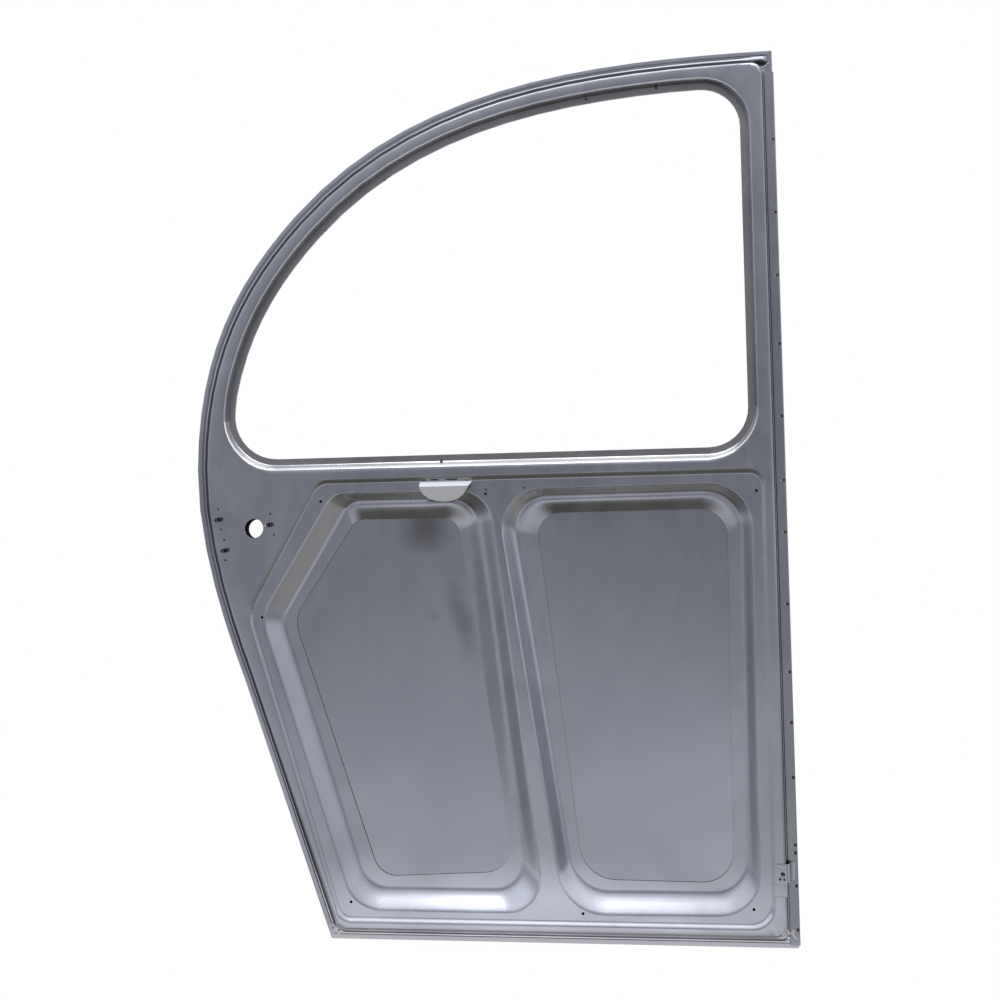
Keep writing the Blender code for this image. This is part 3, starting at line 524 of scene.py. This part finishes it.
frameFinishes = {
    "plain": steels["pressedSteel"],
    "reveal": steels["edgeSteel"],
    "flange": steels["flangeSteel"],
    "shadedStep": steels["stepSteel"],
    "groove": steels["grooveSteel"],
    "litStep": steels["brightStep"],
}
skinFinishes = {"outside": steels["skinSteel"], "inside": steels["skinInside"]}
stripFinish = {"plain": steels["stripSteel"]}
gripFinish = {"plain": steels["brightSteel"]}
bracketFinish = {"plain": steels["pressedSteel"]}
nutFinish = {"plain": steels["darkSteel"]}

smoothSheetOf("inner_frame", "pressedFrame", frameFinishes, frameArea, framePunches)
smoothSheetOf("outer_skin", "outerPanel", skinFinishes, skinArea)
smoothSheetOf("hinge_strip", "hingeStrip", stripFinish, punches=stripPunches)
smoothSheetOf("grip_plate", "gripPlate", gripFinish)
smoothSheetOf("check_bracket", "checkBracket", bracketFinish, punches=bracketPunches)
for number in (1, 2, 3):
    smoothSheetOf(f"nut_cage_{number}", f"nutCage{number}", nutFinish)
    smoothSheetOf(f"cage_nut_{number}", f"cageNut{number}", nutFinish)
print("sheets smoothed")

lumpForm = {
    "roundness": 3,
    "unevenness": 0.22,
    "noiseShare": 0.8,  # noise steps to a lump's radius
    "noiseShift": 400,  # noise steps to a metre, so that no two lumps are alike
}


def lumps(name, places):  # weld metal and folds that stand proud of the sheet
    mesh = bmesh.new()
    for x, z, radius, height in places:
        spot, _ = onCabinSide(x, z)
        shift = Vector((x, 0, z)) * lumpForm["noiseShift"]
        made = bmesh.ops.create_icosphere(mesh, subdivisions=lumpForm["roundness"], radius=radius)
        for vert in made["verts"]:
            vert.co *= 1 + lumpForm["unevenness"] * wave(vert.co / radius * lumpForm["noiseShare"] + shift)
            vert.co.y *= height / radius
            vert.co += spot
    for face in mesh.faces:
        face.smooth = True
    item = linked(name, mesh, [steels["weldSteel"]])
    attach(item, "root")


def runOf(start, end, count, radius, height):  # a row of lumps that reads as one bead of weld or one fold
    places = []
    for step in range(count):
        x = start[0] + (end[0] - start[0]) * step / (count - 1)
        z = start[1] + (end[1] - start[1]) * step / (count - 1)
        places.append((x, z, radius, height))
    return places


# runs are start, end, number of lumps, radius and height; single lumps are x, z, radius and height
welds = {
    "rearFootWeld": {
        "slot": "inner_steel",
        "runs": [],
        "single": [
            (-0.5785, 0.0180, 0.0026, 0.0012),
            (-0.5735, 0.0140, 0.0032, 0.0016),
            (-0.5765, 0.0112, 0.0024, 0.0012),
            (-0.5680, 0.0104, 0.0028, 0.0014),
            (-0.5715, 0.0075, 0.0022, 0.0010),
            (-0.5640, 0.0090, 0.0020, 0.0010),
        ],
    },
    "hingeFootWeld": {
        "slot": "strip_steel",
        "runs": [((-0.0150, 0.0245), (-0.0035, 0.0125), 12, 0.0013, 0.0011)],
        "single": [
            (-0.0160, 0.0160, 0.0026, 0.0010),
            (-0.0120, 0.0130, 0.0028, 0.0011),
            (-0.0075, 0.0200, 0.0022, 0.0008),
            (-0.0175, 0.0205, 0.0018, 0.0008),
        ],
    },
    "hingeTopWeld": {
        "slot": "strip_steel",
        "runs": [((-0.0141, 1.0953), (-0.0035, 1.1030), 10, 0.0009, 0.0009)],
        "single": [(-0.0118, 1.0925, 0.0012, 0.0008)],
    },
    "bracketFolds": {
        "slot": "dark_steel",
        "runs": [
            ((-0.0257, 0.1010), (-0.0180, 0.0978), 9, 0.0010, 0.0012),
            ((-0.0310, 0.0805), (-0.0250, 0.0803), 7, 0.0007, 0.0006),
            ((-0.0180, 0.0795), (-0.0130, 0.0790), 6, 0.0007, 0.0006),
            ((-0.0290, 0.0660), (-0.0140, 0.0655), 14, 0.0008, 0.0006),
        ],
        "single": [(-0.0190, 0.0745, 0.0011, 0.0008)],
    },
    "nickBeads": {
        "slot": "strip_steel",
        "runs": [],
        "single": [
            (nicks["beadAcross"], z - nicks["beadDrop"], nicks["beadRadius"], nicks["beadHeight"])
            for z in nicks["heights"]
        ],
    },
}

for name, weld in welds.items():
    places = [place for run in weld["runs"] for place in runOf(*run)] + weld["single"]
    lumps(name, places)
print("welds laid")

# brightness of the room at each height, from straight below (0) to straight above (1)
room = {
    "left": [(0.00, 0.24), (0.18, 0.10), (0.30, 0.22), (0.38, 0.74), (0.44, 0.64), (0.50, 0.22),
             (0.62, 0.76), (0.80, 0.94), (1.00, 0.75)],
    "middle": [(0.00, 0.22), (0.18, 0.02), (0.30, 0.60), (0.38, 1.12), (0.48, 0.20), (0.55, 0.16),
               (0.74, 0.36), (0.88, 0.80), (1.00, 0.75)],
    "right": [(0.00, 0.24), (0.18, 0.50), (0.32, 0.42), (0.43, 0.27), (0.52, 0.74), (0.62, 0.60),
              (0.88, 0.78), (1.00, 0.75)],
    "sides": (0.15, 0.50, 0.85),  # where the left, middle and right of the room lie
    "warmFloor": (1.04, 1.00, 0.88),
    "coolAir": (0.94, 1.00, 1.10),
    "tintHeights": (0.10, 0.45),
    "backdropEdge": (0.05, 0.45),  # the white backdrop fills the half behind the door
}


def axisOf(graph, direction, axis):
    return graph.add("SeparateXYZ", {}, {"Vector": direction}, output=axis)


def roomGlow(graph, direction):
    height = axisOf(graph, direction, "Z") * 0.5 + 0.5
    across = axisOf(graph, direction, "X") * 0.5 + 0.5
    glows = []
    for side in ("left", "middle", "right"):
        stops = [(at, rgb((glow,) * 3)) for at, glow in room[side]]
        glows.append(graph.add("ValToRGB", {"stops": stops}, {"Fac": height}))
    left, middle, right = room["sides"]
    glow = graph.blend(graph.spread(across, left, middle), glows[0], glows[1])
    glow = graph.blend(graph.spread(across, middle, right), glow, glows[2])
    air = graph.spread(height, *room["tintHeights"])
    tint = graph.blend(air, rgb(room["warmFloor"]), rgb(room["coolAir"]))
    return graph.blend(1.0, glow, tint, "MULTIPLY")


def seenAndMirrored(graph):  # rays from the camera, and rays that metal and glass send on
    seen = graph.add("LightPath", output="Is Camera Ray")
    glossy = graph.add("LightPath", output="Is Glossy Ray")
    passed = graph.add("LightPath", output="Is Transmission Ray")
    return seen, glossy + passed


def finishGraph(graph, kind, factor, first, second):
    both = graph.add("MixShader", {}, {0: factor, 1: first, 2: second})
    output = graph.tree.nodes.new("ShaderNodeOutput" + kind)
    graph.join(output.inputs["Surface"], both)


def makeWorld():
    world = bpy.data.worlds.new("studioWorld")
    bpy.context.scene.world = world
    graph = Graph(world).cleared()
    direction = graph.add("TexCoord", output="Generated")
    glow = graph.add("Background", {}, {"Color": roomGlow(graph, direction), "Strength": 1.0})
    white = graph.add("Background", {}, {"Color": rgb((1, 1, 1)), "Strength": 1.0})
    seen, mirrored = seenAndMirrored(graph)
    behind = graph.spread(axisOf(graph, direction, "Y"), *room["backdropEdge"])
    finishGraph(graph, "World", (seen + mirrored * behind).clamped(), glow, white)


floor = {
    "colour": (0.90, 0.90, 0.90),
    "whiteShare": 0.93,  # share of the floor that shows plain white
    "glow": 1.04,
    "front": -0.035,
    "back": 1.20,
    "width": 2.4,
    "drop": 0.003,
}


def makeFloor():
    half = floor["width"] / 2
    level = cadLow.z - floor["drop"]
    middle = (cadLow.x + cadHigh.x) / 2
    corners = [
        (middle - half, floor["front"], level),
        (middle + half, floor["front"], level),
        (middle + half, floor["back"], level),
        (middle - half, floor["back"], level),
    ]
    data = bpy.data.meshes.new("studioFloor")
    data.from_pydata(corners, [], [(0, 1, 2, 3)])
    item = bpy.data.objects.new("studioFloor", data)
    bpy.context.scene.collection.objects.link(item)
    material = bpy.data.materials.new("paleFloor")
    graph = Graph(material).cleared()
    flat = graph.add("BsdfDiffuse", {}, {"Color": rgb(floor["colour"])})
    white = graph.add("Emission", {}, {"Color": rgb((1, 1, 1)), "Strength": floor["glow"]})
    seen, mirrored = seenAndMirrored(graph)
    finishGraph(graph, "Material", (seen + mirrored).clamped() * floor["whiteShare"], flat, white)
    item.data.materials.append(material)


lamps = {
    "overheadLamp": {
        "spot": (-0.1, -0.8, 2.6),
        "target": (-0.38, 0.0, 0.6),
        "size": (2.2, 1.2),
        "power": 16.0,
    },
    "hingeLamp": {
        "spot": (2.0, -0.9, 1.3),
        "target": (-0.38, 0.0, 0.5),
        "size": (2.4, 2.4),
        "power": 2.0,
    },
}


def softLamp(name, lamp):
    light = bpy.data.lights.new(name, "AREA")
    light.shape = "RECTANGLE"
    light.size, light.size_y = lamp["size"]
    light.energy = lamp["power"]
    item = bpy.data.objects.new(name, light)
    item.location = lamp["spot"]
    aim = Vector(lamp["target"]) - Vector(lamp["spot"])
    item.rotation_euler = aim.to_track_quat("-Z", "Y").to_euler()
    bpy.context.scene.collection.objects.link(item)


makeWorld()
makeFloor()
for name, lamp in lamps.items():
    softLamp(name, lamp)
print("studio lit")
